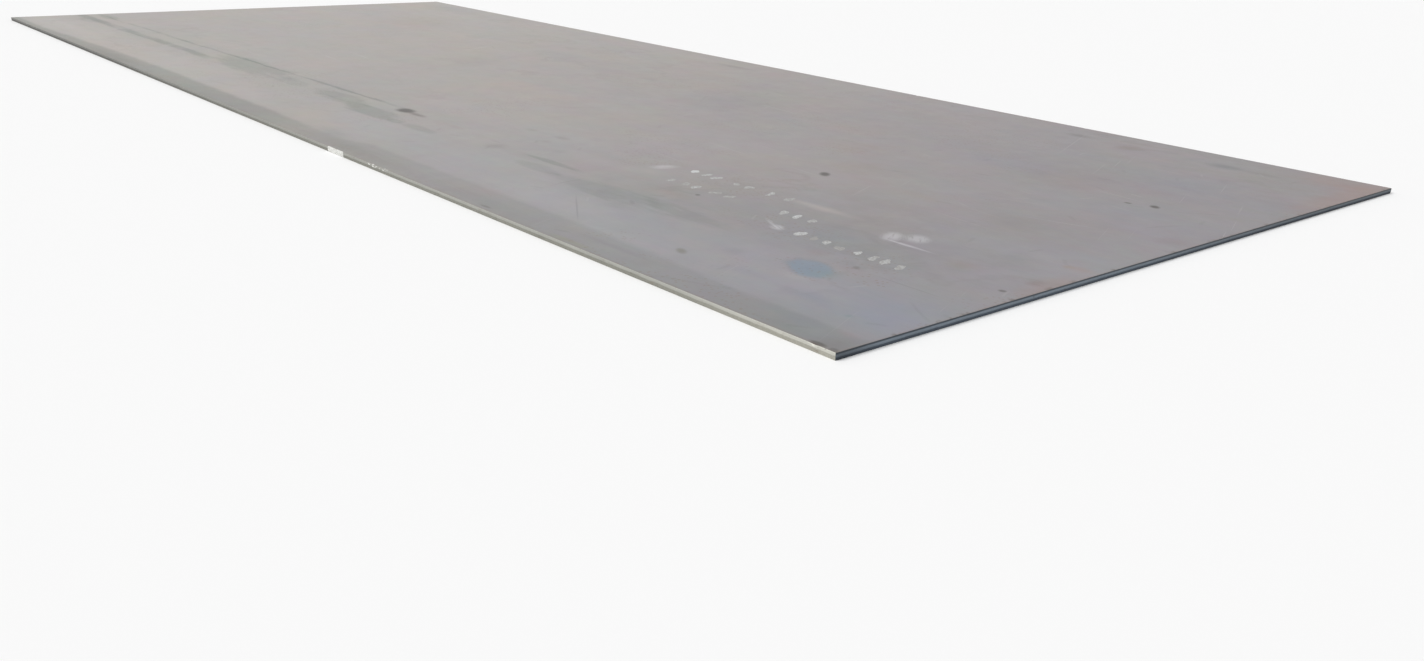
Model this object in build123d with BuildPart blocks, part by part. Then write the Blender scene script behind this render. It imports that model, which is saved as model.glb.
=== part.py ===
from build123d import *
import os

# A heavy steel plate, hot rolled flat and sheared to size, lying on its underside.
# The origin is the middle of the underside: X runs along the rolling direction,
# Y across the plate and Z up through its thickness. All sizes are in millimetres.

# The plate as it is sold, measured over the polished band of its cut edges
plate_length = 6000.0
plate_width = 2500.0
plate_thickness = 16.0

# A sheared edge, read from the top face down: the blade first drags the arris over into
# a small round, then polishes an upright band, and below it the steel tears away inwards
rollover_radius = 1.4
polished_band = 5.0
blade_clearance = 1.0

# Each corner in plan, where two cuts meet and handling has blunted the point
corner_radius = 3.0

# Levels and the outline of the underside, which follow from the sizes above
band_height = polished_band + rollover_radius
band_foot = plate_thickness - band_height
foot_length = plate_length - 2 * blade_clearance
foot_width = plate_width - 2 * blade_clearance

with BuildPart() as steel_plate:
    # The torn lower part of the cut, which leans out from the underside to the band
    with BuildSketch(Plane.XY):
        RectangleRounded(foot_length, foot_width, corner_radius)
    with BuildSketch(Plane.XY.offset(band_foot)):
        RectangleRounded(plate_length, plate_width, corner_radius)
    loft(ruled=True)

    # The polished band, upright to the top face
    with BuildSketch(Plane.XY.offset(band_foot)):
        RectangleRounded(plate_length, plate_width, corner_radius)
    extrude(amount=band_height)

    # The arris that the blade dragged over, all the way round the top face
    top_face = faces().sort_by(Axis.Z)[-1]
    fillet(top_face.edges(), radius=rollover_radius)

steel_plate.part.label = "steel_plate"

os.makedirs("parts", exist_ok=True)
export_step(steel_plate.part, "parts/steel_plate.step")
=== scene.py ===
import math

import bpy
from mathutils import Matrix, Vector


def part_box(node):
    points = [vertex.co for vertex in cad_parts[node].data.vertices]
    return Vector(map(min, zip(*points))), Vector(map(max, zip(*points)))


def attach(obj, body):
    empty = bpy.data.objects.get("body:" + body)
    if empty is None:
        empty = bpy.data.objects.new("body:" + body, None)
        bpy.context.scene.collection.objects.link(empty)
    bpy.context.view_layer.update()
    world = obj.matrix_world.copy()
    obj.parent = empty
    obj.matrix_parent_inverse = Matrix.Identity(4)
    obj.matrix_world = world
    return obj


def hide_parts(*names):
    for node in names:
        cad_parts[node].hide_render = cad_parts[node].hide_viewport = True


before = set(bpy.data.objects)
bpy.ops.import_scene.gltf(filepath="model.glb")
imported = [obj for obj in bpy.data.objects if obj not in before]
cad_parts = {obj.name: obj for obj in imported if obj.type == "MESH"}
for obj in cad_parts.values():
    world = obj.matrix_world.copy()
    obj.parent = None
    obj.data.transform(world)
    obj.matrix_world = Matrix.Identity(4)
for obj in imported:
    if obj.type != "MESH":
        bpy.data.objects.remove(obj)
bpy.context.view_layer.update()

# The plate: one piece of carbon steel, hot rolled along X, cooled in air under its grey
# mill scale, and sheared to size on all four sides. The blade drags the top arris over,
# polishes a band below it, and the rest of the thickness tears away inwards.
plate_low, plate_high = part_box("steel_plate")
plate_length, plate_width, plate_thickness = plate_high - plate_low
ROLLOVER = 0.0014
POLISHED_BAND = 0.005
BLADE_CLEARANCE = 0.001
CORNER_RADIUS = 0.003


class Wire:
    """One output of a node. Sums and products of wires add their own Math nodes."""

    def __init__(self, tree, socket=None):
        self.tree = tree
        self.socket = socket

    def node(self, kind, settings=None, sockets=None, output=0):
        """Adds a node with these settings, then these values or links on its sockets."""
        made = self.tree.nodes.new(kind)
        for name, value in (settings or {}).items():
            setattr(made, name, value)
        for name, value in (sockets or {}).items():
            for one in value if isinstance(value, list) else [value]:
                if isinstance(one, Wire):
                    self.tree.links.new(one.socket, made.inputs[name])
                else:
                    made.inputs[name].default_value = one
        return Wire(self.tree, made.outputs[output])

    def __getitem__(self, name):
        return Wire(self.tree, self.socket.node.outputs[name])

    def math(self, operation, *values):
        settings = {"operation": operation}
        return self.node("ShaderNodeMath", settings, dict(enumerate(values)))

    def vector(self, operation, *values, output=0):
        settings = {"operation": operation}
        return self.node("ShaderNodeVectorMath", settings, dict(enumerate(values)), output)

    def __add__(self, other):
        return self.math("ADD", self, other)

    def __sub__(self, other):
        return self.math("SUBTRACT", self, other)

    def __mul__(self, other):
        return self.math("MULTIPLY", self, other)

    def __truediv__(self, other):
        return self.math("DIVIDE", self, other)

    def __radd__(self, other):
        return self.math("ADD", other, self)

    def __rsub__(self, other):
        return self.math("SUBTRACT", other, self)

    def __rmul__(self, other):
        return self.math("MULTIPLY", other, self)

    def __abs__(self):
        return self.math("ABSOLUTE", self)

    def over(self, start, end):
        """0 up to start, 1 from end on, and a smooth rise between them."""
        settings = {"interpolation_type": "SMOOTHSTEP"}
        return self.node("ShaderNodeMapRange", settings, {0: self, 1: start, 2: end})

    def above(self, limit):
        """Whether this number is above a limit."""
        settings = {"data_type": "FLOAT", "operation": "GREATER_THAN"}
        return self.node("FunctionNodeCompare", settings, {0: self, 1: limit})

    def xyz(self):
        """The three numbers of this place or colour."""
        split = self.node("ShaderNodeSeparateXYZ", {}, {"Vector": self})
        return split["X"], split["Y"], split["Z"]

    def at(self, x, y, z):
        """The place with these three numbers."""
        return self.node("ShaderNodeCombineXYZ", {}, {"X": x, "Y": y, "Z": z})

    def stretched(self, x, y, z, turn=0.0):
        """This place turned about Z, then scaled along each axis."""
        turned = self.node("ShaderNodeMapping", {}, {
            "Vector": self, "Rotation": (0.0, 0.0, turn)}) if turn else self
        return self.node("ShaderNodeMapping", {}, {"Vector": turned, "Scale": (x, y, z)})

    def mixed(self, mask, first, second, blend="MIX"):
        """The first colour where the mask is 0, and the second or their product where 1."""
        settings = {"data_type": "RGBA", "blend_type": blend}
        return self.node("ShaderNodeMix", settings, {0: mask, 6: first, 7: second}, 2)

    def covered(self, mask, colour, blend="MIX"):
        """This colour with another one over it, or times it, where the mask is 1."""
        return self.mixed(mask, self, colour, blend)

    def tinted(self, mask, red, green, blue):
        """This colour with its red, green and blue multiplied where the mask is 1."""
        return self.covered(mask, (red, green, blue, 1.0), "MULTIPLY")

    def dimmed(self, factor):
        """This colour made lighter or darker."""
        grey = self.node("ShaderNodeCombineColor", {}, {0: factor, 1: factor, 2: factor})
        return self.covered(1.0, grey, "MULTIPLY")

    def noise(self, place, scale, detail=2.0, roughness=0.5, dimensions="3D", w=0.0):
        """Noise from 0 to 1 about 0.5 at a place, which is a number for one dimension."""
        sockets = {"Scale": scale, "Detail": detail, "Roughness": roughness}
        if dimensions in ("1D", "4D"):
            sockets["W"] = place if dimensions == "1D" else w
        if dimensions != "1D":
            sockets["Vector"] = place
        return self.node("ShaderNodeTexNoise", {"noise_dimensions": dimensions}, sockets)


def geometry_tree(name, inputs):
    """A new node tree with named inputs, and a wire for each of them."""
    tree = bpy.data.node_groups.new(name, "GeometryNodeTree")
    for label, kind in inputs.items():
        tree.interface.new_socket(label, in_out="INPUT", socket_type="NodeSocket" + kind)
    tree.interface.new_socket("Geometry", in_out="OUTPUT", socket_type="NodeSocketGeometry")
    entry = tree.nodes.new("NodeGroupInput")
    wires = {label: Wire(tree, entry.outputs[label]) for label in inputs}
    return tree, wires


def finish_tree(result):
    """Leads a wire to the tree's output."""
    leave = result.tree.nodes.new("NodeGroupOutput")
    result.tree.links.new(result.socket, leave.inputs["Geometry"])


def grown(name, tree, values, points=(), **numbers):
    """A plain mesh object made by a tree with these values on its named inputs."""
    seed = bpy.data.objects.new(name + "_seed", bpy.data.meshes.new(name + "_seed"))
    seed.data.from_pydata(points, [], [])
    for label, column in numbers.items():
        seed.data.attributes.new(label, "FLOAT", "POINT").data.foreach_set("value", column)
    bpy.context.scene.collection.objects.link(seed)
    modifier = seed.modifiers.new(tree.name, "NODES")
    modifier.node_group = tree
    for item in tree.interface.items_tree:
        if item.in_out == "INPUT" and item.name in values:
            modifier[item.identifier] = values[item.name]
    bpy.context.view_layer.update()
    ready = seed.evaluated_get(bpy.context.evaluated_depsgraph_get())
    mesh = bpy.data.meshes.new_from_object(ready)
    mesh.name = name
    piece = bpy.data.objects.new(name, mesh)
    bpy.context.scene.collection.objects.link(piece)
    seed.modifiers.clear()
    bpy.data.objects.remove(seed)
    used = {face.material_index for face in mesh.polygons}
    for slot in reversed(range(len(mesh.materials))):
        if slot not in used:
            mesh.materials.pop(index=slot)
    sharp_angle = math.radians(35.0)
    for face in mesh.polygons:
        face.use_smooth = True
    mesh.set_sharp_from_angle(angle=sharp_angle)
    return piece


def on_border(start):
    """Whether an edge of a mesh has a face on one side only."""
    neighbours = start.node("GeometryNodeInputMeshEdgeNeighbors")
    settings = {"data_type": "INT", "operation": "EQUAL"}
    return start.node("FunctionNodeCompare", settings, {2: neighbours, 3: 1})


def stored(start, name, kind="FLOAT"):
    """What the mesh carries under this name."""
    settings = {"data_type": kind}
    return start.node("GeometryNodeInputNamedAttribute", settings, {"Name": name})


def moved(geometry, offset):
    """This geometry with each point shifted by its offset."""
    sockets = {"Geometry": geometry, "Offset": offset}
    return geometry.node("GeometryNodeSetPosition", {}, sockets)


def joined(*parts):
    """These geometries as one."""
    return parts[0].node("GeometryNodeJoinGeometry", {}, {"Geometry": list(parts)})


def welded(geometry, distance):
    """This geometry with the points that lie this close to each other made one."""
    sockets = {"Geometry": geometry, "Distance": distance}
    return geometry.node("GeometryNodeMergeByDistance", {}, sockets)


def sheared_plate_tree():
    """The cut edge swept round the outline, and the two rolled faces between."""
    tree, size = geometry_tree("Sheared plate", {
        "Length": "Float", "Width": "Float", "Thickness": "Float",
        "Corner Radius": "Float", "Rollover": "Float", "Polished Band": "Float",
        "Blade Clearance": "Float", "Rim": "Float", "Station": "Float",
        "Top Cell": "Float", "Underside Cell": "Float", "Stroke": "Float",
        "Stroke Step": "Float", "Band Wander": "Float", "Tear Roughness": "Float",
        "Nick Depth": "Float", "Struck Corner": "Vector", "Strike Depth": "Float",
        "Seed": "Float",
        "Face Finish": "Material", "Cut Finish": "Material",
    })
    start = Wire(tree)
    top = size["Thickness"]
    band_foot = top - size["Rollover"] - size["Polished Band"]
    place = start.node("GeometryNodeInputPosition")

    # The outline of the polished band, with a station every few millimetres
    outline = start.node("GeometryNodeCurvePrimitiveQuadrilateral", {"mode": "RECTANGLE"},
                         {"Width": size["Length"], "Height": size["Width"]})
    outline = start.node("GeometryNodeFilletCurve", {"mode": "POLY"},
                         {"Curve": outline, "Count": 4, "Radius": size["Corner Radius"]})
    index = start.node("GeometryNodeInputIndex")
    count = start.node("GeometryNodeAttributeDomainSize", {"component": "CURVE"},
                       {"Geometry": outline})
    following = start.math("MODULO", index + 1, count)
    ahead = start.node("GeometryNodeFieldAtIndex", {"data_type": "FLOAT_VECTOR"},
                       {"Value": place, "Index": following})
    run = start.vector("DISTANCE", place, ahead, output="Value")
    cuts = start.math("FLOOR", run / size["Station"])
    outline = start.node("GeometryNodeSubdivideCurve", {},
                         {"Curve": outline, "Cuts": cuts})
    outline = start.node("GeometryNodeSetCurveNormal", {"mode": "Z_UP"}, {"Curve": outline})
    path = start.node("GeometryNodeSplineParameter")
    outward = start.node("GeometryNodeInputNormal")
    tangent = start.node("GeometryNodeInputTangent")
    along_y = abs(tangent.xyz()[1])
    for name, kind, value in (("along", "FLOAT", path["Length"]),
                              ("outward", "FLOAT_VECTOR", outward),
                              ("end_cut", "FLOAT", along_y.over(0.4, 0.6))):
        outline = start.node("GeometryNodeStoreNamedAttribute", {"data_type": kind},
                             {"Geometry": outline, "Name": name, "Value": value})

    # The section of the cut: X is outwards from the band and Y the height
    rim, rollover = size["Rim"], size["Rollover"]
    clearance = size["Blade Clearance"]
    burr, section_weld = 0.0003, 0.00001

    def line(first, last, points):
        """A straight of the section, with this many points on it."""
        made = start.node("GeometryNodeCurvePrimitiveLine", {"mode": "POINTS"},
                          {"Start": start.at(*first, 0.0), "End": start.at(*last, 0.0)})
        return start.node("GeometryNodeResampleCurve", {"mode": "COUNT"},
                          {"Curve": made, "Count": points})

    arris = start.node("GeometryNodeCurveArc", {"mode": "RADIUS"}, {
        "Resolution": 5, "Radius": rollover, "Start Angle": 0.0, "Sweep Angle": math.pi / 2})
    arris = start.node("GeometryNodeTransform", {}, {
        "Geometry": arris, "Translation": start.at(-1.0 * rollover, top - rollover, 0.0)})
    section = joined(
        line((-1.0 * rim, top), (-1.0 * rollover, top), 5),
        arris,
        line((0.0, top - rollover), (0.0, band_foot), 4),
        line((0.0, band_foot), (-1.0 * clearance, burr), 6),
        line((-1.0 * clearance, burr), (-1.0 * clearance - burr, 0.0), 2),
        line((-1.0 * clearance - burr, 0.0), (-1.0 * rim, 0.0), 3))
    section = start.node("GeometryNodeCurveToMesh", {}, {"Curve": section})
    section = welded(section, section_weld)
    section = start.node("GeometryNodeMeshToCurve", {}, {"Mesh": section})
    section = start.node("GeometryNodeStoreNamedAttribute", {"data_type": "FLOAT_VECTOR"},
                         {"Geometry": section, "Name": "section", "Value": place})
    section = start.node("GeometryNodeTransform", {},
                         {"Geometry": section, "Scale": (1.0, -1.0, 1.0)})
    edge = start.node("GeometryNodeCurveToMesh", {},
                      {"Curve": outline, "Profile Curve": section})
    edge = start.node("GeometryNodeFlipFaces", {}, {"Mesh": edge})

    # At a corner the rim's inner rows meet in a point instead of crossing
    out, level, _ = stored(start, "section", "FLOAT_VECTOR").xyz()
    x, y, z = place.xyz()

    def held(value, half):
        """This number, kept within plus and minus a half width."""
        return start.math("MAXIMUM", start.math("MINIMUM", value, half), -1.0 * half)

    x = held(x, size["Length"] * 0.5 + out)
    y = held(y, size["Width"] * 0.5 + out)
    edge = start.node("GeometryNodeSetPosition", {},
                      {"Geometry": edge, "Position": start.at(x, y, z)})

    # The blade's strokes, the wandering foot of the band, and the roughness of the tear
    tear_start, tear_end = 0.002, 0.0006
    wander_scale, tear_scale_along, tear_scale_up = 18.0, 320.0, 90.0
    along = stored(start, "along")
    on_cut = level.over(top, top - rollover) * (level / (2.0 * burr)).over(0.0, 1.0)
    stroke = start.math("FLOOR", along / size["Stroke"])
    shift = start.node("ShaderNodeTexWhiteNoise", {"noise_dimensions": "1D"},
                       {"W": stroke + size["Seed"]})
    step = (shift - 0.5) * size["Stroke Step"] * on_cut
    near_foot = 1.0 - (abs(level - band_foot) / size["Polished Band"]).over(0.0, 1.0)
    wander = start.noise(along + size["Seed"], wander_scale, 3.0, 0.6, "1D") - 0.5
    rise = wander * size["Band Wander"] * near_foot
    torn = level.over(band_foot, band_foot - tear_start) * level.over(0.0, tear_end)
    torn_place = start.at(along * tear_scale_along, level * tear_scale_up, size["Seed"])
    grain = start.noise(torn_place, 1.0, 2.0, 0.6)
    tear = (grain - 0.5) * size["Tear Roughness"] * torn

    # Knocks: small nicks in the arris, and one blow near the front corner
    arris_reach, strike_reach = 0.006, 0.014
    dent_inwards, dent_downwards = 0.7, 0.6
    nick_scale, nick_start, nick_full = 22.0, 0.74, 0.86
    from_arris = start.math("SQRT", out * out + (top - level) * (top - level))
    by_arris = from_arris.over(arris_reach, 0.0)
    nicks = start.noise(along + size["Seed"] * 3.0, nick_scale, 1.0, 0.5, "1D")
    nicks = nicks.over(nick_start, nick_full)
    struck = start.vector("DISTANCE", place, size["Struck Corner"], output="Value")
    dent = nicks * size["Nick Depth"] + struck.over(strike_reach, 0.0) * size["Strike Depth"]
    dent = dent * by_arris
    push = step + tear - dent * dent_inwards
    offset = start.node("ShaderNodeVectorMath", {"operation": "SCALE"}, {
        "Vector": stored(start, "outward", "FLOAT_VECTOR"), "Scale": push})
    offset = start.vector("ADD", offset, start.at(0.0, 0.0, rise - dent * dent_downwards))
    edge = moved(edge, offset)

    # The rolled faces: a grid of cells, and a fan of triangles from it to the rim
    open_edge = on_border(start)
    high = place.xyz()[2].above(top * 0.5)

    def face(cell, height, at_top):
        """One rolled face at this height, joined to the rim of the cut edge."""
        length = size["Length"] - 2.0 * (rim + cell)
        width = size["Width"] - 2.0 * (rim + cell)
        grid = start.node("GeometryNodeMeshGrid", {}, {
            "Size X": length, "Size Y": width,
            "Vertices X": start.math("ROUND", length / cell) + 1,
            "Vertices Y": start.math("ROUND", width / cell) + 1})
        inner = start.node("GeometryNodeMeshToCurve", {},
                           {"Mesh": grid, "Selection": open_edge})
        side = high if at_top else start.node("FunctionNodeBooleanMath", {"operation": "NOT"},
                                              {0: high})
        on_side = start.node("FunctionNodeBooleanMath", {"operation": "AND"},
                             {0: open_edge, 1: side})
        outer = start.node("GeometryNodeMeshToCurve", {},
                           {"Mesh": edge, "Selection": on_side})
        fan = start.node("GeometryNodeFillCurve", {"mode": "TRIANGLES"},
                         {"Curve": joined(inner, outer)})
        both = joined(grid, fan)
        x, y, _ = place.xyz()
        both = start.node("GeometryNodeSetPosition", {},
                          {"Geometry": both, "Position": start.at(x, y, height)})
        if not at_top:
            both = start.node("GeometryNodeFlipFaces", {}, {"Mesh": both})
        return both

    over_face = face(size["Top Cell"], top, True)
    under_face = face(size["Underside Cell"], 0.0, False)
    # The cut's own finish reaches a little past the rounded arris
    cut_reach, plate_weld = 1.3, 0.00002
    edge = start.node(
        "GeometryNodeStoreNamedAttribute", {"data_type": "BOOLEAN", "domain": "FACE"},
        {"Geometry": edge, "Name": "sheared", "Value": out.above(-cut_reach * rollover)})
    whole = welded(joined(edge, over_face, under_face), plate_weld)
    whole = start.node("GeometryNodeRealizeInstances", {}, {"Geometry": whole})
    whole = start.node("GeometryNodeSetMaterial", {},
                       {"Geometry": whole, "Material": size["Face Finish"]})
    finish_tree(start.node("GeometryNodeSetMaterial", {}, {
        "Geometry": whole, "Selection": stored(start, "sheared", "BOOLEAN"),
        "Material": size["Cut Finish"]}))
    return tree


def tone(red, green, blue):
    """A colour given as a screen shows it, from 0 to 255, as linear light."""
    def linear(value):
        """The screen's own curve, undone."""
        value /= 255
        return value / 12.92 if value <= 0.04045 else ((value + 0.055) / 1.055) ** 2.4
    return linear(red), linear(green), linear(blue), 1.0


def new_finish(name, **constants):
    """A material, its shader node and a wire in it. The constants go on the shader."""
    finish = bpy.data.materials.new(name)
    finish.use_nodes = True
    shader = finish.node_tree.nodes["Principled BSDF"]
    for label, value in constants.items():
        shader.inputs[label.replace("_", " ")].default_value = value
    return finish, shader, Wire(finish.node_tree)


def lead(shader, **sockets):
    """Leads each wire to the shader's socket of that name."""
    for label, wire in sockets.items():
        wire.tree.links.new(wire.socket, shader.inputs[label.replace("_", " ")])


class Skin:
    """The plate's skin while its finish is made: its colour so far, and where things lie."""

    def __init__(self, start):
        self.start = start
        self.place = place = start.node("ShaderNodeTexCoord")["Object"]
        self.x, self.y, height = place.xyz()
        self.topside = height.over(plate_thickness * 0.5, plate_thickness * 0.6)
        self.from_edge = self.y + plate_width / 2
        self.from_end = plate_length / 2 - self.x
        self.drift = start.noise(place, 2.2, 4.0, 0.6) - 0.5
        self.ragged = start.noise(place, 16.0, 5.0, 0.65) - 0.5
        self.mottle = start.noise(place, 13.0, 8.0, 0.68) - 0.5
        self.grain = start.noise(place, 240.0, 4.0, 0.65) - 0.5
        # A stain is a round drawn on the skin squeezed along X by its length in widths
        self.squeezed = {ratio: start.vector("MULTIPLY", place, (1.0 / ratio, 1.0, 0.0))
                         for ratio in (1, 2, 4, 8)}
        self.shade = None

    def tint(self, mask, red, green, blue):
        """Multiplies the colour's red, green and blue where the mask is 1."""
        self.shade = self.shade.tinted(mask, red, green, blue)

    def cover(self, mask, colour):
        """Lays another colour over this one where the mask is 1."""
        self.shade = self.shade.covered(mask, colour)

    def streaks(self, squeeze, scale, detail, roughness, turn=0.0, w=None):
        """Noise drawn out along the rolling direction, or along a line turned from it."""
        place = self.place.stretched(squeeze, 1.0, 1.0, turn)
        if w is None:
            return self.start.noise(place, scale, detail, roughness)
        return self.start.noise(place, scale, detail, roughness, "4D", w)

    def blot(self, at_x, at_y, long, wide, turn=0.0, soft=0.6, edge=0.5):
        """1 inside a ragged oval of this length and width, and 0 outside it."""
        reach, depth = 3.0, 1000.0
        local = self.start.node("ShaderNodeMapping", {"vector_type": "TEXTURE"}, {
            "Vector": self.place, "Location": (at_x, at_y, 0.0),
            "Rotation": (0.0, 0.0, turn), "Scale": (long * reach / 2, wide * reach / 2, depth)})
        inside = self.start.node("ShaderNodeTexGradient", {"gradient_type": "SPHERICAL"},
                                 {"Vector": local})["Fac"] * reach
        rim = reach - 1.0
        return (inside - self.ragged * edge).over(rim - soft / 2, rim + soft) * self.topside

    def stain(self, at_x, at_y, wide, ratio, soft, rag):
        """1 inside an oval of this width and length in widths, with a ragged soft rim."""
        reach = self.start.vector("DISTANCE", self.squeezed[ratio], (at_x / ratio, at_y, 0.0),
                                  output="Value")
        return self.start.math("MULTIPLY_ADD", reach, 2.0 / wide, rag).over(
            1.0 + soft / 2, 1.0 - soft)


def roll_skin(skin):
    """Bare scale banded and lined by rolls; cooler, darker to the near end: partly painted
    sheen.
    """
    # The far end's lighter tone is partly painted sheen, where the skin is seen more slantwise.
    near_end, far_tone_and_sheen = tone(137, 135, 139), tone(157, 153, 149)
    far_off = (skin.from_end + skin.drift * 1.5).over(-1.0, 4.0)
    skin.shade = skin.start.mixed(far_off, near_end, far_tone_and_sheen)
    cloud = skin.streaks(0.45, 1.7, 5.0, 0.6)
    skin.tint(cloud.over(0.42, 0.7), 1.03, 1.0, 0.965)
    cool = skin.streaks(0.5, 2.3, 4.0, 0.6, 0.3, 4.0)
    skin.tint(cool.over(0.5, 0.75), 0.945, 0.97, 0.985)
    skin.tint(skin.y.over(-1.0, 0.9) * skin.from_end.over(6.0, 1.5), 0.87, 0.85, 0.85)
    for scale, strength in ((5.0, 0.148), (22.0, 0.11)):
        blush = skin.streaks(0.7, scale, 4.0, 0.6, 0.1)["Color"]
        skin.shade = skin.shade.covered(strength, blush, "MULTIPLY")
    bands = skin.streaks(0.05, 7.0, 4.0, 0.6) - 0.5
    lines = skin.streaks(0.012, 130.0, 3.0, 0.6) - 0.5
    flake = skin.streaks(0.6, 5.0, 9.0, 0.62)
    flaked = flake.over(0.53, 0.56) - flake.over(0.66, 0.68)
    light = 1.145 + bands * 0.095 + lines * 0.07 + skin.mottle * 0.1 + skin.grain * 0.18
    skin.shade = skin.shade.dimmed(light + flaked * 0.03)
    return flaked


def dry_rain(skin):
    """Rain that dried in pools: a dull patch with a darker shore."""
    pool = skin.streaks(0.8, 1.25, 6.0, 0.5, w=2.0)
    shore = abs(pool - 0.57).over(0.012, 0.0) * skin.drift.over(-0.15, 0.1)
    skin.tint(pool.over(0.565, 0.6) * 0.5, 0.94, 0.95, 0.95)
    skin.tint(shore * skin.topside * 0.6, 0.88, 0.875, 0.86)


def dampen_front(skin):
    """Along the front edge: a strip that stayed damp, and paler, bluer skin beside it."""
    from_edge, from_end, drift = skin.from_edge, skin.from_end, skin.drift
    skin.tint(skin.blot(0.9, -1.0, 3.6, 0.3, 0.0, 0.9, 0.8), 1.02, 1.025, 1.035)
    skin.tint(skin.blot(-1.9, -1.09, 4.8, 0.28, 0.0, 0.6, 0.6), 1.07, 1.07, 1.06)
    bluish = (from_edge + drift * 0.12).over(0.07, 0.16)
    bluish = bluish * (from_edge + drift * 0.35).over(0.62, 0.25)
    bluish = bluish * (from_end + drift * 1.5).over(3.2, 0.4) * skin.topside
    skin.tint(bluish, 0.985, 1.0, 1.035)
    skin.tint(skin.blot(2.78, -1.0, 0.6, 0.3, 0.0, 0.9, 0.8), 0.99, 1.01, 1.05)
    strip_width = (0.03 + 0.06 * from_end.over(5.6, 4.2) + 0.035 * from_end.over(2.3, 2.1)
                   - 0.03 * from_end.over(0.9, 0.2))
    strip = from_edge + skin.ragged * 0.03 + drift * 0.03 - strip_width
    strip = strip.over(0.018, -0.012)
    strip = strip * (0.45 + 0.55 * from_end.over(2.2, 3.0)) * skin.topside
    skin.tint(strip, 0.71, 0.745, 0.725)


# Lines of dried water: how far from the front edge at the middle of the plate, the slope,
# half the width, and the X of both ends
WATER_LINES = ((0.507, 0.025, 0.013, -3.2, 0.34), (0.38, 0.013, 0.034, -3.2, -1.2))
# Pools: the place, the width, the length in widths, and how dark each dried
POOLS = (
    (-0.87, -0.82, 0.19, 4, 1.0), (0.0, -0.82, 0.1, 4, 0.9), (0.3, -0.865, 0.1, 4, 1.0),
    (-0.42, -0.845, 0.07, 4, 0.6), (-2.82, -0.81, 0.07, 4, 0.8),
    (-2.75, -0.93, 0.09, 4, 0.5), (0.68, -0.872, 0.055, 4, 0.7),
    (1.38, -0.783, 0.036, 8, 0.9), (1.72, -0.862, 0.13, 4, 0.6),
    (2.03, -0.83, 0.09, 4, 0.65), (1.39, -0.855, 0.06, 4, 0.5),
    (0.04, -0.868, 0.045, 8, 0.5), (-0.12, -0.748, 0.045, 4, 0.3),
    (0.535, -0.876, 0.045, 2, 0.75),
)


def run_water(skin):
    """Water ran along the rolling and dried green-grey, in two lines and their pools."""
    combed = skin.streaks(0.2, 22.0, 6.0, 0.68) - 0.5
    wet = skin.streaks(0.3, 9.0, 5.0, 0.65)
    for from_edge, slope, half, first, last in WATER_LINES:
        offset = abs(skin.from_edge + combed * 0.05 - skin.x * slope - from_edge)
        run = (skin.x - last).over(0.1, -0.1) * (skin.x - first).over(-0.1, 0.1)
        line = offset.over(half, half * 0.4) * run * skin.topside
        skin.tint(line * wet.over(0.3, 0.55), 0.7, 0.75, 0.73)
    wetted = wet.over(0.2, 0.45) * skin.topside
    for at_x, at_y, wide, ratio, strength in POOLS:
        pool = skin.stain(at_x, at_y, wide, ratio, 0.4, combed * 1.6)
        skin.tint(pool * (wetted * strength), 0.77, 0.815, 0.79)


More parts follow.
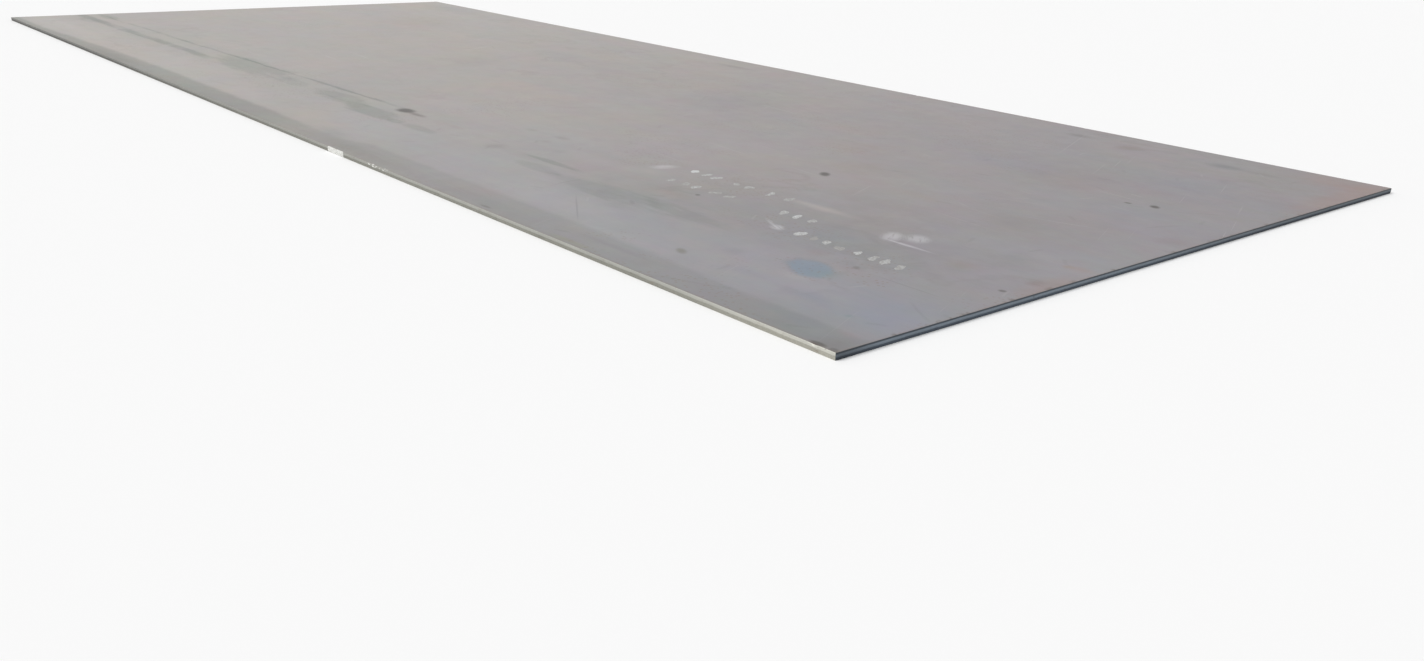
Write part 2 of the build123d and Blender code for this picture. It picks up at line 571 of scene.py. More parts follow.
# Faint stains: the place, the width, the length in widths, and the tint in red, green
# and blue, which is below 1 where the skin is darker
STAINS = (
    # Along the front edge, from the far end to the near one
    (-2.7, -1.15, 0.25, 2, (1.06, 1.08, 1.08)),
    (-2.35, -1.1, 0.1, 8, (1.06, 1.055, 1.05)),
    (-1.4, -1.225, 0.08, 8, (0.84, 0.86, 0.86)),
    (0.6, -1.14, 0.06, 4, (0.91, 0.92, 0.92)),
    (0.9, -1.21, 0.09, 8, (0.87, 0.87, 0.85)),
    (0.95, -1.15, 0.18, 4, (0.955, 0.955, 0.95)),
    (1.55, -1.205, 0.07, 8, (0.94, 0.945, 0.95)),
    (1.56, -1.13, 0.05, 2, (1.03, 0.96, 0.975)),
    (1.7, -1.228, 0.012, 4, (0.7, 0.68, 0.66)),
    (1.75, -1.05, 0.15, 4, (1.08, 1.08, 1.07)),
    (2.0, -1.12, 0.07, 4, (1.06, 1.05, 1.06)),
    (2.1, -1.232, 0.025, 8, (0.97, 0.98, 0.84)),
    (2.2, -1.17, 0.03, 8, (0.93, 0.9, 0.95)),
    (2.24, -1.1, 0.05, 4, (1.04, 1.0, 1.02)),
    (2.529, -1.041, 0.05, 2, (0.94, 0.96, 0.985)),
    (2.723, -1.049, 0.07, 2, (0.87, 0.9, 0.96)),
    (2.82, -1.17, 0.05, 4, (0.92, 0.96, 0.98)),
    (2.84, -1.22, 0.05, 4, (0.92, 0.96, 0.94)),
    (2.85, -1.18, 0.1, 2, (1.05, 1.03, 1.03)),
    (2.865, -1.071, 0.023, 1, (0.84, 0.93, 0.92)),
    (2.9, -1.0, 0.2, 1, (0.97, 1.0, 1.05)),
    (2.945, -1.153, 0.035, 2, (1.05, 0.98, 1.0)),
    (2.965, -1.22, 0.09, 1, (0.91, 0.88, 0.86)),
    # On the front part, left of the marking
    (-1.5, -0.68, 0.14, 4, (1.07, 1.03, 1.03)),
    (0.71, -0.75, 0.03, 4, (0.98, 0.94, 0.93)),
    (0.893, -0.557, 0.03, 2, (0.89, 0.88, 0.87)),
    (1.06, -0.8, 0.08, 1, (0.87, 0.86, 0.84)),
    (1.06, -0.548, 0.035, 2, (0.86, 0.85, 0.84)),
    (1.08, -0.623, 0.028, 2, (0.91, 0.9, 0.89)),
    (1.2, -0.8, 0.06, 4, (0.93, 0.93, 0.93)),
    (1.23, -0.67, 0.06, 1, (0.95, 0.94, 0.93)),
    (1.45, -0.655, 0.12, 4, (1.05, 1.04, 1.05)),
    (1.585, -0.59, 0.1, 2, (1.05, 1.07, 1.08)),
    # Round the marking, the chalk and the blue patch
    (1.7, -0.84, 0.2, 2, (0.95, 0.99, 0.96)),
    (1.8, -0.535, 0.08, 2, (0.94, 0.95, 0.95)),
    (1.84, -0.715, 0.09, 2, (0.97, 0.95, 0.90)),
    (1.88, -0.928, 0.07, 2, (0.91, 0.925, 0.91)),
    (1.95, -0.79, 0.13, 4, (0.96, 0.99, 0.975)),
    (2.0, -0.66, 0.42, 4, (0.93, 0.93, 0.925)),
    (2.24, -0.33, 0.25, 2, (0.97, 0.95, 0.915)),
    (2.3, -0.68, 0.22, 4, (0.97, 1.015, 1.015)),
    (2.378, -0.952, 0.06, 1, (0.89, 0.9, 0.9)),
    (2.39, -0.92, 0.12, 1, (1.05, 1.02, 1.04)),
    (2.4, -0.62, 0.6, 2, (0.945, 0.95, 0.945)),
    (2.4, -0.45, 0.12, 2, (0.95, 0.945, 0.93)),
    (2.45, -0.6, 0.3, 2, (0.96, 0.965, 0.975)),
    (2.5, -0.79, 0.055, 1, (0.98, 0.94, 0.92)),
    (2.6, -0.97, 0.05, 2, (1.1, 1.08, 1.04)),
    (2.61, -0.8, 0.06, 2, (0.91, 0.93, 0.94)),
    # Along the near end
    (2.6, -0.15, 0.6, 1, (0.95, 0.94, 0.93)),
    (2.6, -0.13, 0.18, 1, (0.95, 0.93, 0.92)),
    (2.765, -0.58, 0.08, 1, (1.0, 0.96, 0.88)),
    (2.8, -0.45, 0.15, 1, (0.94, 0.94, 0.91)),
    (2.918, -0.375, 0.032, 1, (1.0, 0.94, 0.82)),
    (2.95, 0.05, 0.09, 1, (0.92, 0.89, 0.89)),
    (2.955, -0.555, 0.045, 1, (0.87, 0.82, 0.8)),
    # On the middle and the far part
    (-2.04, 0.6, 0.5, 1, (0.97, 0.95, 0.925)),
    (-0.6, 0.1, 0.34, 1, (0.93, 0.95, 0.945)),
    (-0.5, 0.57, 0.3, 2, (0.96, 0.965, 0.99)),
    (0.0, 0.3, 3.0, 4, (1.004, 0.985, 1.003)),
    (0.76, 0.45, 0.45, 1, (0.94, 0.945, 0.96)),
    (1.68, 0.21, 0.22, 2, (1.0, 0.96, 0.94)),
    (1.92, 0.0, 0.22, 1, (0.95, 0.925, 0.90)),
    (2.36, 0.45, 0.36, 1, (0.98, 0.945, 0.925)),
    # Along the back edge
    (-2.5, 1.1, 0.2, 4, (0.92, 0.95, 0.95)),
    (0.08, 1.09, 0.06, 4, (0.82, 0.82, 0.8)),
    (1.96, 1.1, 0.055, 2, (0.76, 0.76, 0.75)),
    (2.0, 1.2, 0.07, 2, (0.92, 0.92, 0.91)),
    (2.19, 1.065, 0.1, 1, (0.8, 0.77, 0.69)),
    (2.535, 1.068, 0.07, 2, (0.72, 0.75, 0.77)),
    (2.66, 1.07, 0.04, 4, (0.9, 0.88, 0.88)),
    (2.7, 0.8, 0.3, 1, (0.97, 0.985, 1.02)),
    (2.8, 1.1, 0.3, 2, (0.99, 0.97, 0.94)),
    (2.87, 1.18, 0.22, 1, (1.04, 0.93, 0.88)),
)


def stain_skin(skin):
    """The faint stains, and two thin straight drag marks of something sharp."""
    stains = skin.start.node("ShaderNodeCombineColor", {}, {0: 1.0, 1: 1.0, 2: 1.0})
    for at_x, at_y, wide, ratio, tint in STAINS:
        stain = skin.stain(at_x, at_y, wide, ratio, 0.9, skin.ragged)
        stains = stains.tinted(stain, *tint)
    skin.shade = skin.shade.covered(skin.topside, stains, "MULTIPLY")
    skin.tint(skin.blot(1.835, -1.03, 0.27, 0.006, -0.59), 0.84, 0.84, 0.84)
    skin.tint(skin.blot(2.8, -0.815, 0.2, 0.006), 0.88, 0.88, 0.88)


# Ragged blots, each with how much of it covers the skin, then its place, length and width,
# and after them its turn, softness and raggedness where they aren't the usual ones
OIL_SPOTS = (
    (0.9, (0.37, -0.753, 0.1, 0.065)),
    (0.5, (0.45, -0.758, 0.15, 0.034, 0.0, 0.9, 1.2)),
    (0.85, (1.91, -0.168, 0.056, 0.034, -0.8)),
    (0.9, (2.711, 0.355, 0.038, 0.028, -0.8)),
    (0.7, (2.64, 0.329, 0.026, 0.018)),
    (0.55, (1.903, -0.668, 0.022, 0.016, -0.7)),
    (0.3, (2.637, -0.806, 0.026, 0.018, -0.9)),
    (0.6, (2.944, -0.662, 0.022, 0.018)),
    (0.15, (1.87, -0.873, 0.05, 0.014, -0.5)),
    (0.7, (2.943, -1.241, 0.044, 0.02, 0.0, 0.6, 0.8)),
    (0.45, (2.985, -1.24, 0.024, 0.018)),
)
# The blue patch from its dark rim inwards, and a spot of ochre beside it
BLUE_PATCH = (
    (0.3, (2.576, -0.896, 0.174, 0.114, -0.45, 0.3, 0.6), tone(100, 106, 112)),
    (0.62, (2.583, -0.9, 0.158, 0.1, -0.45, 0.3, 0.6), tone(114, 133, 150)),
    (0.4, (2.64, -0.905, 0.09, 0.08, 0.0, 0.8, 0.8), tone(118, 136, 136)),
    (0.5, (2.306, -1.059, 0.05, 0.026, -0.5, 0.7, 0.8), tone(94, 92, 70)),
)
RUST_DUST = (
    (0.36, (2.99, 1.0, 0.16, 0.75, 0.0, 0.9, 1.0)),
    (0.3, (2.99, -0.55, 0.09, 0.22, 0.0, 1.0, 1.2)),
    (0.25, (2.95, -0.37, 0.08, 0.05, 0.0, 1.0, 1.0)),
)


def blot_skin(skin):
    """Oil and grease, a rubbed blue patch, and rust dust blown against the near end."""
    oil, dust = tone(62, 58, 53), tone(146, 112, 100)
    for strength, spot in OIL_SPOTS:
        skin.cover(skin.blot(*spot) * strength, oil)
    for strength, patch, colour in BLUE_PATCH:
        skin.cover(skin.blot(*patch) * strength, colour)
    for strength, spot in RUST_DUST:
        skin.cover(skin.blot(*spot) * strength, dust)


# Strokes of chalk: the place, length, width, turn, and how much of it covers the skin
CHALK_STROKES = (
    (2.502, -0.53, 0.088, 0.056, -1.0, 0.45),
    (2.556, -0.493, 0.08, 0.066, -0.9, 0.4),
    (2.575, -0.56, 0.15, 0.014, 0.0, 0.5),
    (1.577, -0.525, 0.09, 0.05, 1.2, 0.36),
    (2.278, -0.717, 0.055, 0.036, -0.4, 0.5),
    (2.235, -0.698, 0.09, 0.016, -0.45, 0.3),
)


def chalk_skin(skin):
    """Chalk rubbed on by hand, broken up by the drag of the stroke, and a clay smear."""
    chalk, clay = tone(202, 200, 205), tone(182, 170, 165)
    for at_x, at_y, long, wide, turn, strength in CHALK_STROKES:
        dry = skin.streaks(0.12, 150.0, 3.0, 0.6, -turn)
        rubbed = skin.blot(at_x, at_y, long, wide, turn, 0.7, 0.9) * dry.over(0.22, 0.52)
        skin.cover(rubbed * strength, chalk)
    skin.cover(skin.blot(2.19, -0.477, 0.24, 0.045, 0.0, 0.9, 1.6) * 0.35, clay)


def scuffs(skin, scale, half_length, half_width, salt, share):
    """Short strokes at any angle, one at most in each cell of a scattered grid."""
    start, place = skin.start, skin.place
    cell = start.node("ShaderNodeTexVoronoi", {"voronoi_dimensions": "2D"}, {
        "Vector": start.vector("ADD", place, (salt, salt, 0.0)), "Scale": scale})
    centre = start.vector("SUBTRACT", cell["Position"], (salt, salt, 0.0))
    turn, bend, pick = cell["Color"].xyz()
    off_x, off_y, _ = start.vector("SUBTRACT", place, centre).xyz()
    angle = turn * math.tau
    sine, cosine = start.math("SINE", angle), start.math("COSINE", angle)
    along = off_x * cosine + off_y * sine
    across = off_y * cosine - off_x * sine + along * along * (bend - 0.5) * 0.8
    across = across + skin.ragged * half_width * 2.0
    stroke = abs(along).over(half_length, half_length * 0.5)
    stroke = stroke * abs(across).over(half_width, half_width * 0.3)
    return stroke * pick.over(1.0 - share, 1.02 - share)


def scuff_skin(skin):
    """Scuffs of handling: pale ones rubbed to the metal, and dark ones of dirt."""
    pale = scuffs(skin, 5.0, 0.03, 0.005, 9.0, 0.2)
    dark = skin.start.math("MAXIMUM", scuffs(skin, 2.7, 0.08, 0.006, 15.0, 0.25),
                           scuffs(skin, 6.0, 0.03, 0.008, 21.0, 0.3))
    skin.cover(pale * 0.1, tone(186, 183, 180))
    skin.tint(dark * 0.5, 0.87, 0.865, 0.855)
    return pale


def scratch_skin(skin):
    """Fine scratches in loose swarms, each swarm dragged along a line of its own."""
    scratch = None
    for turn, scale, w in ((0.1, 150.0, 1.0), (-0.35, 190.0, 5.0), (1.2, 210.0, 9.0)):
        thin = skin.streaks(0.012, scale, 1.0, 0.5, turn, w)
        where = skin.start.noise(skin.place, 1.1, 2.0, 0.5, "4D", w).over(0.5, 0.68)
        layer = thin.over(0.70, 0.76) * where
        scratch = layer if scratch is None else skin.start.math("MAXIMUM", scratch, layer)
    skin.cover(scratch * 0.3, tone(170, 168, 166))
    return scratch


def rust_skin(skin):
    """Pinpricks of rust in loose swarms, a rusty rim, and dirt knocked into the ends."""
    prick_rust, rim_rust, dirt = tone(120, 96, 80), tone(128, 112, 100), tone(92, 84, 78)
    start, place = skin.start, skin.place
    rim_x = start.math("MINIMUM", skin.from_end, plate_length - skin.from_end)
    rim_y = start.math("MINIMUM", skin.from_edge, plate_width - skin.from_edge)
    rim = start.math("MINIMUM", rim_y, rim_x)
    prick = start.node("ShaderNodeTexVoronoi", {"voronoi_dimensions": "2D"},
                       {"Vector": place, "Scale": 75.0})
    swarm = start.noise(place, 2.6, 3.0, 0.6, "4D", 6.0) + rim.over(0.06, 0.0) * 0.12
    pricks = prick["Distance"].over(0.34, 0.14) * prick["Color"].xyz()[0].over(0.6, 0.62)
    pricks = pricks * swarm.over(0.54, 0.62)
    skin.cover(pricks * 0.3, prick_rust)
    skin.cover((rim + skin.ragged * 0.02).over(0.012, 0.0) * 0.3, rim_rust)
    knocks = skin.streaks(0.5, 34.0, 3.0, 0.6).over(0.58, 0.64)
    skin.cover(knocks * rim_x.over(0.016, 0.004) * 0.6, dirt)


def mill_scale_finish():
    """Grey oxide skin with the traces of rolling, rain and handling."""
    finish, shader, start = new_finish("mill_scale", Metallic=0.5)
    skin = Skin(start)
    flaked = roll_skin(skin)
    dry_rain(skin)
    dampen_front(skin)
    run_water(skin)
    stain_skin(skin)
    blot_skin(skin)
    chalk_skin(skin)
    pale = scuff_skin(skin)
    scratch = scratch_skin(skin)
    rust_skin(skin)
    mottle, grain = skin.mottle, skin.grain
    rough = 0.5 + mottle * 0.2 + grain * 0.15 + flaked * 0.02 - scratch * 0.12
    height = grain * 0.5 + mottle * 0.4 + flaked * 0.12 - scratch * 0.5 - pale * 0.4
    bump = start.node("ShaderNodeBump", {}, {
        "Height": height, "Strength": 0.18, "Distance": 0.0006})
    lead(shader, Base_Color=skin.shade, Roughness=rough, Normal=bump)
    return finish


def cut_finish():
    """Sheared edge: a bright polished band over a dull torn zone, rust in the hollows."""
    finish, shader, start = new_finish("cut_steel", Metallic=0.25, Specular_IOR_Level=0.3)
    place = start.node("ShaderNodeTexCoord")["Object"]
    section = start.node("ShaderNodeAttribute", {"attribute_name": "section"})["Vector"]
    ends = start.node("ShaderNodeAttribute", {"attribute_name": "end_cut"})["Fac"]
    along = start.node("ShaderNodeAttribute", {"attribute_name": "along"})["Fac"]
    level = section.xyz()[1]
    from_end = plate_length / 2 - place.xyz()[0]
    band_foot = plate_thickness - ROLLOVER - POLISHED_BAND
    tear_start, tear_full = band_foot + 0.0005, band_foot - 0.001
    torn = level.over(tear_start, tear_full)
    run = start.at(along, level, 0.0)
    rubbed, dusty, dull = tone(192, 191, 182), tone(164, 164, 157), tone(107, 107, 104)
    wiped_with_shade, oil_and_shade_black, dark_end_arris = tone(96, 105, 114), tone(59, 67, 76), tone(50, 53, 56)
    rust_brown, chip_grey = tone(120, 98, 78), tone(66, 64, 58)
    bands = start.noise(run.stretched(9.0, 300.0, 1.0), 1.0, 4.0, 0.6) - 0.5
    tears = start.noise(run.stretched(420.0, 60.0, 1.0), 1.0, 3.0, 0.6) - 0.5
    dirt = start.noise(along, 9.0, 5.0, 0.65, "1D") - 0.5
    grain = start.noise(place, 500.0, 3.0, 0.6) - 0.5

    # Front and back edges: rubbed bright at the near corner, dusty and duller farther on
    # The near corner's brightness is partly rubbed steel and partly a painted highlight.
    long_side = start.mixed((from_end + dirt * 0.3).over(0.05, 0.6), rubbed, dusty)
    long_side = long_side.covered((from_end + dirt * 2.0).over(1.0, 5.2), dull)
    long_side = long_side.tinted(torn, 0.72, 0.71, 0.69)

    # Ends: cut on another shear, left blue-black partly by their oil and partly by painted
    # shade,
    # and wiped paler in the middle; the dark band along the bottom is painted shade as well.
    dark_low, wiped_low, wiped_high, dark_high = 0.0055, 0.0075, 0.0114, 0.0132
    oil_and_shade_bands = start.math("MAXIMUM", level.over(wiped_low, dark_low),
                      level.over(wiped_high, dark_high))
    end_oil_and_shade = start.mixed(oil_and_shade_bands, wiped_with_shade, oil_and_shade_black)
    # Lighter towards the front, and darker again at the front corner
    y = place.xyz()[1]
    end_oil_and_shade = end_oil_and_shade.dimmed(0.9 + 0.75 * y.over(0.8, -0.6) * y.over(-1.24, -1.1))
    shade = long_side.covered(ends, end_oil_and_shade)

    # Both: streaks and grain, rust in the hollows, chipped spots, the ends darker at the arris
    shade = shade.dimmed(1.0 + bands * 0.3 + tears * 0.35 * torn + dirt * 0.3 + grain * 0.3)
    rust = start.noise(run.stretched(26.0, 130.0, 1.0), 1.0, 5.0, 0.7).over(0.56, 0.72)
    shade = shade.covered(rust * 0.45 * (1.0 - ends * 0.6), rust_brown)
    chipped = start.noise(run.stretched(60.0, 160.0, 1.0), 1.0, 3.0, 0.6).over(0.68, 0.72)
    shade = shade.covered(chipped * 0.6, chip_grey)
    arris = level.over(plate_thickness - ROLLOVER * 2.0, plate_thickness - ROLLOVER)
    shade = shade.covered(arris * ends * 0.7, dark_end_arris)
    rough = 0.46 + torn * 0.2 + grain * 0.2
    bump = start.node("ShaderNodeBump", {}, {
        "Height": bands * 0.3 + tears * torn + grain * 0.3 - chipped * 0.6,
        "Strength": 0.5, "Distance": 0.0005})
    lead(shader, Base_Color=shade, Roughness=rough, Normal=bump)
    return finish


mill_scale = mill_scale_finish()
cut_steel = cut_finish()
plate = grown("plate", sheared_plate_tree(), {
    "Length": plate_length, "Width": plate_width, "Thickness": plate_thickness,
    "Corner Radius": CORNER_RADIUS, "Rollover": ROLLOVER, "Polished Band": POLISHED_BAND,
    "Blade Clearance": BLADE_CLEARANCE, "Rim": 0.014, "Station": 0.006,
    "Top Cell": 0.025, "Underside Cell": 0.1, "Stroke": 1.3, "Stroke Step": 0.0005,
    "Band Wander": 0.003, "Tear Roughness": 0.0006, "Nick Depth": 0.0015,
    "Struck Corner": (2.94, -1.25, plate_thickness), "Strike Depth": 0.004,
    "Seed": 7.0, "Face Finish": mill_scale, "Cut Finish": cut_steel,
})

# The plate's map for baked looks: the top face is stretched to two thirds of the height,
# the underside lies above it, and the thin cut edges are drawn out as ribbons over both.
# Both long edges have a ribbon each, and the two ends share the third.
TOP_SHARE, UNDERSIDE_SHARE, RIBBON_SHARE, MARGIN = 0.66, 0.2, 0.032, 0.006
END_SHARE = 0.49
half_length, half_width = plate_length / 2, plate_width / 2
section_height = plate_thickness + ROLLOVER
section = plate.data.attributes["section"].data
cut_slot = plate.data.materials.find("cut_steel")
bake_map = plate.data.uv_layers.new(name="OFBake")
for face in plate.data.polygons:
    middle = face.center
    on_cut = face.material_index == cut_slot
    on_end = on_cut and half_length - abs(middle.x) < half_width - abs(middle.y)
    if on_end:
        mirrored = middle.x < 0
    elif on_cut:
        mirrored = middle.y > 0
    else:
        mirrored = middle.z < plate_thickness / 2
    for loop in face.loop_indices:
        vertex = plate.data.loops[loop].vertex_index
        x, y, _ = plate.data.vertices[vertex].co
        along_x, along_y = (x + half_length) / plate_length, (y + half_width) / plate_width
        run = along_y if on_end else along_x
        if mirrored:
            run = 1.0 - run
        if on_end:
            run = run * END_SHARE + (1.0 - END_SHARE if middle.x > 0 else 0.0)
        if on_cut:
            out, height, _ = section[vertex].vector
            rise = (height + (ROLLOVER - out) / 2) / section_height
            ribbon = 2 if on_end else int(middle.y > 0)
            level = TOP_SHARE + UNDERSIDE_SHARE + MARGIN * (3 + ribbon)
            level += RIBBON_SHARE * (ribbon + rise)
        elif mirrored:
            level = 2 * MARGIN + TOP_SHARE + UNDERSIDE_SHARE * along_y
        else:
            level = MARGIN + TOP_SHARE * along_y
        bake_map.data[loop].uv = MARGIN / 2 + run * (1.0 - MARGIN), level
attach(plate, "root")
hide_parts("steel_plate")

# Worn marking: what is left of rows of white paint, a stencil's height, on the top face.
# Only plain flecks remain, three or so dabs of a thin film to each, more or less rubbed.
FLECK_ROWS = (
    (-0.485, ((1.672, 1.0), (1.726, 0.65), (1.773, 0.65), (1.868, 0.55), (1.919, 0.6),
              (2.008, 0.65), (2.081, 0.5))),
    (-0.612, ((1.724, 0.5), (1.782, 0.4), (1.828, 0.6), (1.909, 0.4), (1.966, 0.5))),
    (-0.603, ((2.175, 0.6), (2.232, 0.8), (2.279, 0.5))),
    (-0.715, ((2.352, 0.8), (2.406, 0.2), (2.443, 0.6), (2.502, 0.3), (2.555, 0.7),
              (2.602, 0.5), (2.65, 0.6), (2.697, 0.5))),
)


def worn_marking_tree():
    """Three ragged dabs round each point of the mesh that it is given."""
    tree, size = geometry_tree("Worn marking", {
        "Geometry": "Geometry", "Dabs": "Int", "Spread": "Vector", "Dab Length": "Float",
        "Dab Width": "Float", "Ragged": "Float", "Film": "Float", "Sunk": "Float",
        "Seed": "Int", "Paint": "Material"})
    start = Wire(tree)
    number = start.node("GeometryNodeInputIndex")

    def chance(low, high, salt):
        """A number drawn for each dab."""
        return start.node("FunctionNodeRandomValue", {"data_type": "FLOAT"}, {
            2: low, 3: high, "ID": number, "Seed": size["Seed"] + salt}, 1)

    smallest, largest = 0.5, 1.0
    least_turn, most_turn = 1.6, 2.3
    dab_corners, rag_scale = 18, 260.0
    points = start.node("GeometryNodeMeshToPoints", {}, {"Mesh": size["Geometry"]})
    points = start.node("GeometryNodeDuplicateElements", {"domain": "POINT"},
                        {"Geometry": points, "Amount": size["Dabs"]})
    strewn = start.at(chance(-0.5, 0.5, 1), chance(-0.5, 0.5, 2), 0.0)
    points = moved(points, start.vector("MULTIPLY", strewn, size["Spread"]))
    dab = start.node("GeometryNodeMeshCircle", {"fill_type": "NGON"},
                     {"Vertices": dab_corners, "Radius": 0.5})
    build_up = chance(smallest, largest, 3)
    points = start.node("GeometryNodeStoreNamedAttribute", {"data_type": "FLOAT"},
                        {"Geometry": points, "Name": "build", "Value": build_up})
    dabs = start.node("GeometryNodeInstanceOnPoints", {}, {
        "Points": points, "Instance": dab,
        "Rotation": start.at(0.0, 0.0, chance(least_turn, most_turn, 4)),
        "Scale": start.at(chance(smallest, largest, 5) * size["Dab Length"],
                          chance(smallest, largest, 6) * size["Dab Width"], 1.0)})
    dabs = start.node("GeometryNodeRealizeInstances", {}, {"Geometry": dabs})
    place = start.node("GeometryNodeInputPosition")
    rag = start.node("ShaderNodeTexNoise", {"noise_dimensions": "3D"}, {
        "Vector": place, "Scale": rag_scale, "Detail": 2.0})["Color"]
    push = start.vector("MULTIPLY", start.vector("SUBTRACT", rag, (0.5, 0.5, 0.5)),
                        start.at(size["Ragged"], size["Ragged"], 0.0))
    base = moved(dabs, push)
    base = moved(base, start.at(0.0, 0.0, -1.0 * size["Sunk"]))
    thickness = size["Sunk"] + size["Film"] * stored(start, "build")
    finish_tree(film_over(base, thickness, size["Paint"]))
    return tree


def film_over(base, thickness, paint):
    """A closed film that stands this much above the faces of a mesh."""
    weld = 0.000001
    raised = base.node("GeometryNodeExtrudeMesh", {"mode": "FACES"}, {
        "Mesh": base, "Offset Scale": thickness, "Individual": False})
    back = base.node("GeometryNodeFlipFaces", {}, {"Mesh": base})
    film = welded(joined(raised, back), weld)
    film = base.node("GeometryNodeRealizeInstances", {}, {"Geometry": film})
    return base.node("GeometryNodeSetMaterial", {}, {"Geometry": film, "Material": paint})


def paint_finish(name, fresh, worn):
    """Dry white paint, greyer where less of its coat is left and the steel shows through."""
    finish, shader, start = new_finish(name, Metallic=0.0, Specular_IOR_Level=0.3)
    place = start.node("ShaderNodeTexCoord")["Object"]
    coat = start.node("ShaderNodeAttribute", {"attribute_name": "coat"})["Fac"]
    thin = start.noise(place, 170.0, 4.0, 0.7) + (coat - 1.0) * 0.4
    dust = start.noise(place, 620.0, 3.0, 0.6)
    shade = start.mixed(thin.over(0.2, 0.6), worn, fresh)
    shade = shade.dimmed(1.0 + (dust - 0.5) * 0.2)
    bump = start.node("ShaderNodeBump", {}, {
        "Height": dust, "Strength": 0.4, "Distance": 0.0003})
    lead(shader, Base_Color=shade, Roughness=0.62 + dust * 0.2, Normal=bump)
    return finish


marking_paint = paint_finish("marking_paint", tone(202, 204, 205), tone(150, 148, 146))
flecks = [(x, y, plate_thickness) for y, row in FLECK_ROWS for x, _ in row]
marking = grown("worn_marking", worn_marking_tree(), {
    "Dabs": 3, "Spread": (0.016, 0.02, 0.0), "Dab Length": 0.036, "Dab Width": 0.022,
    "Ragged": 0.007, "Film": 0.00012, "Sunk": 0.00004, "Seed": 4, "Paint": marking_paint,
}, flecks, coat=[coat for _, row in FLECK_ROWS for _, coat in row])
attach(marking, "root")

# Painted stripe: a coat of white sprayed across the front cut edge to mark the plate,
# thin enough to follow the edge and rubbed off its high spots, with chips farther on.
STRIPE_MIDDLE = 0.853
STRIPE_WIDTH = 0.106
CHIPS_START, CHIPS_END = 1.07, 1.2


def painted_edge_tree():
    """The faces of the cut edge under the stripe, cut finer, and a film raised on them."""
    tree, size = geometry_tree("Painted edge", {
        "Plate": "Object", "Half Width": "Float", "Middle": "Float", "Width": "Float",
        "Chips Start": "Float", "Chips End": "Float", "Rubbed": "Float",
        "Film": "Float", "Paint": "Material"})
    start = Wire(tree)
    body = start.node("GeometryNodeObjectInfo", {}, {"Object": size["Plate"]})["Geometry"]
    x, y, _ = start.node("GeometryNodeInputPosition").xyz()
    level = stored(start, "section", "FLOAT_VECTOR").xyz()[1]

    def kept(mesh, mask):
        """The faces where the mask is above a half."""
        return start.node("GeometryNodeSeparateGeometry", {"domain": "FACE"},
                          {"Geometry": mesh, "Selection": mask.above(0.5)})["Selection"]

    # The part of the front edge that the spray and the chips reach, cut finer
    front_depth, before_stripe, past_chips = 0.003, 0.15, 0.05
    front = y.over(front_depth + 0.0005 - size["Half Width"], front_depth - size["Half Width"])
    near = (x - (size["Middle"] - before_stripe)).over(0.0, 0.001)
    near = near * (x - (size["Chips End"] + past_chips)).over(0.001, 0.0)
    faces = kept(body, front * near)
    faces = start.node("GeometryNodeSubdivideMesh", {}, {"Mesh": faces, "Level": 2})

    def spots(along_x, up, seed, detail):
        """Noise on the cut edge, this many times finer along it and up it."""
        return start.noise(start.at(x * along_x, level * up, seed), 1.0, detail, 0.6)

    # Where the film lies: the stripe with its worn spots, and the chips on the upper half
    spray_reach, chips_fade, lower_half, upper_half = 0.012, 0.01, 0.008, 0.010
    film_foot, film_full = 0.0004, 0.0008
    spray = (spots(90.0, 240.0, 3.0, 3.0) - 0.5) * spray_reach
    half_stripe = size["Width"] * 0.5
    stripe = (abs(x - size["Middle"]) + spray).over(half_stripe + 0.001, half_stripe)
    wear = spots(260.0, 700.0, 8.0, 3.0)
    chips = (x - size["Chips Start"]).over(0.0, chips_fade)
    chips = chips * (x - size["Chips End"]).over(0.0, -chips_fade)
    chips = chips * spots(70.0, 160.0, 5.0, 2.0).over(0.54, 0.58)
    chips = chips * level.over(lower_half, upper_half)
    faces = kept(faces, level.over(film_foot, film_full) * start.math(
        "MAXIMUM", stripe * (wear - size["Rubbed"]).over(0.0, 0.02), chips))

    # Patches that touch at a corner are parted there and drawn in a hair, so each is closed
    faces = start.node("GeometryNodeSplitEdges", {},
                       {"Mesh": faces, "Selection": on_border(start)})
    place = start.node("GeometryNodeInputPosition")
    middle = start.node("GeometryNodeFieldOnDomain", {
        "data_type": "FLOAT_VECTOR", "domain": "FACE"}, {"Value": place})
    drawn_in = 0.03
    inward = start.vector("SUBTRACT", middle, place)
    inward = start.vector("MULTIPLY", inward, (drawn_in, drawn_in, drawn_in))
    faces = moved(faces, inward)
    faces = start.node("GeometryNodeStoreNamedAttribute", {"data_type": "FLOAT"},
                       {"Geometry": faces, "Name": "coat", "Value": 1.0})
    finish_tree(film_over(faces, size["Film"], size["Paint"]))
    return tree


stripe_paint = paint_finish("stripe_paint", tone(232, 232, 228), tone(196, 195, 190))
stripe = grown("painted_stripe", painted_edge_tree(), {
    "Plate": plate, "Half Width": plate_width / 2, "Middle": STRIPE_MIDDLE,
    "Width": STRIPE_WIDTH, "Chips Start": CHIPS_START, "Chips End": CHIPS_END,
    "Rubbed": 0.42, "Film": 0.00015, "Paint": stripe_paint,
})
stripe.data.uv_layers.remove(stripe.data.uv_layers["OFBake"])
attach(stripe, "root")

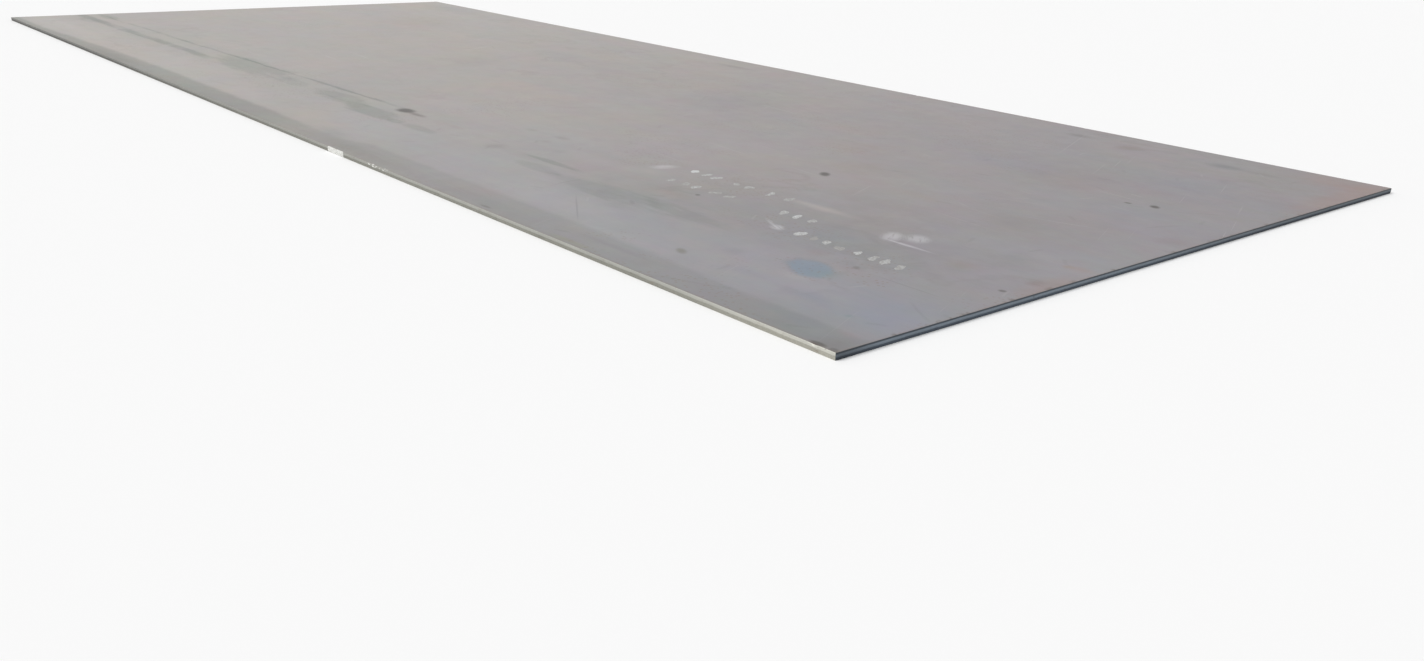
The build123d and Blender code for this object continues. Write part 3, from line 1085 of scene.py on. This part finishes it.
# The stage: a pale floor out to the horizon, open white light from all round, and one
# wide soft lamp from the left of the camera, high up, which leaves the near end in shade.
FLOOR_SPAN = 90.0
FLOOR_COLOUR = (0.93, 0.93, 0.93, 1.0)
floor_finish, _, _ = new_finish(
    "pale_floor", Base_Color=FLOOR_COLOUR, Roughness=0.95, Specular_IOR_Level=0.1)
bpy.ops.mesh.primitive_plane_add(size=FLOOR_SPAN)
floor = bpy.context.object
floor.name = "floor"
floor.data.materials.append(floor_finish)

AMBIENT = 0.52
BACKGROUND = 0.955
studio = bpy.data.worlds.new("studio")
studio.use_nodes = True
bpy.context.scene.world = studio
background = studio.node_tree.nodes["Background"]
background.inputs["Color"].default_value = (1.0, 1.0, 1.0, 1.0)
rays = Wire(studio.node_tree).node("ShaderNodeLightPath")
reflected = rays.math("MAXIMUM", rays["Is Glossy Ray"], rays["Is Transmission Ray"])
strength = AMBIENT + (1.0 - AMBIENT) * reflected
strength = strength + (BACKGROUND - AMBIENT) * rays["Is Camera Ray"]
studio.node_tree.links.new(strength.socket, background.inputs["Strength"])

LAMP_STRENGTH = 2.0
LAMP_HEIGHT, LAMP_TURN, LAMP_SOFTNESS = (math.radians(a) for a in (52.0, -112.0, 40.0))
lamp = bpy.data.objects.new("lamp", bpy.data.lights.new("lamp", "SUN"))
lamp.data.energy = LAMP_STRENGTH
lamp.data.angle = LAMP_SOFTNESS
lamp.rotation_euler = (0.0, math.pi / 2 - LAMP_HEIGHT, LAMP_TURN)
bpy.context.scene.collection.objects.link(lamp)

# The camera: low beside the near corner, 0.84 m above the face, and turned, in degrees,
# to look slantwise over the plate.
CAMERA_PLACE = (4.5142, -2.9056, 0.8591)
CAMERA_TURNS = (70.094, -2.1559, 49.2698)
LENS, SENSOR_WIDTH = 31.856, 36.0
camera = bpy.data.objects.new("camera", bpy.data.cameras.new("camera"))
camera.location = CAMERA_PLACE
camera.rotation_euler = [math.radians(a) for a in CAMERA_TURNS]
camera.data.lens = LENS
camera.data.sensor_width = SENSOR_WIDTH
bpy.context.scene.collection.objects.link(camera)
bpy.context.scene.camera = camera
bpy.context.scene.view_settings.view_transform = "Standard"
